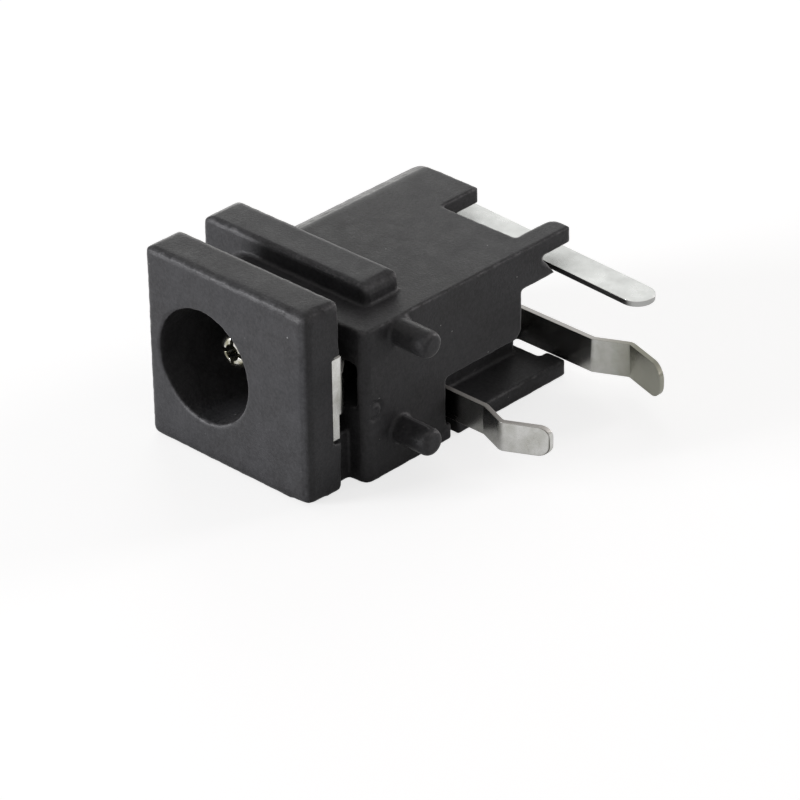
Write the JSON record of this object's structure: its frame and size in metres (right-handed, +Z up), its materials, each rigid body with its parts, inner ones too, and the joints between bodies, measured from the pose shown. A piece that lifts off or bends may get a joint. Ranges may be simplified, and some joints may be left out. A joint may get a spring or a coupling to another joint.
{
  "type": "dc power jack",
  "caption": "Right-angle DC power jack for a circuit board: black moulded body with a square front flange, round plug bore with centre pin, locating pegs and formed solder tails.",
  "frame": {"origin": "centre of the plug bore's mouth, in the flange's front face", "axes": "-Y out of the plug bore, +X towards the circuit board (solder side), +Z up from the side it lies on"},
  "size_m": [0.0131, 0.0135, 0.0072],
  "materials": {
    "black_plastic": "fine moulded texture, matt",
    "pin_metal": "nickel plated, turned",
    "plated_sheet": "tin plated, stamped"
  },
  "bodies": {
    "root": {"housing": "black_plastic", "center_pin": "pin_metal", "pin_terminal": "plated_sheet", "sleeve_spring": "plated_sheet", "switch_contact": "plated_sheet"}
  },
  "joints": []
}
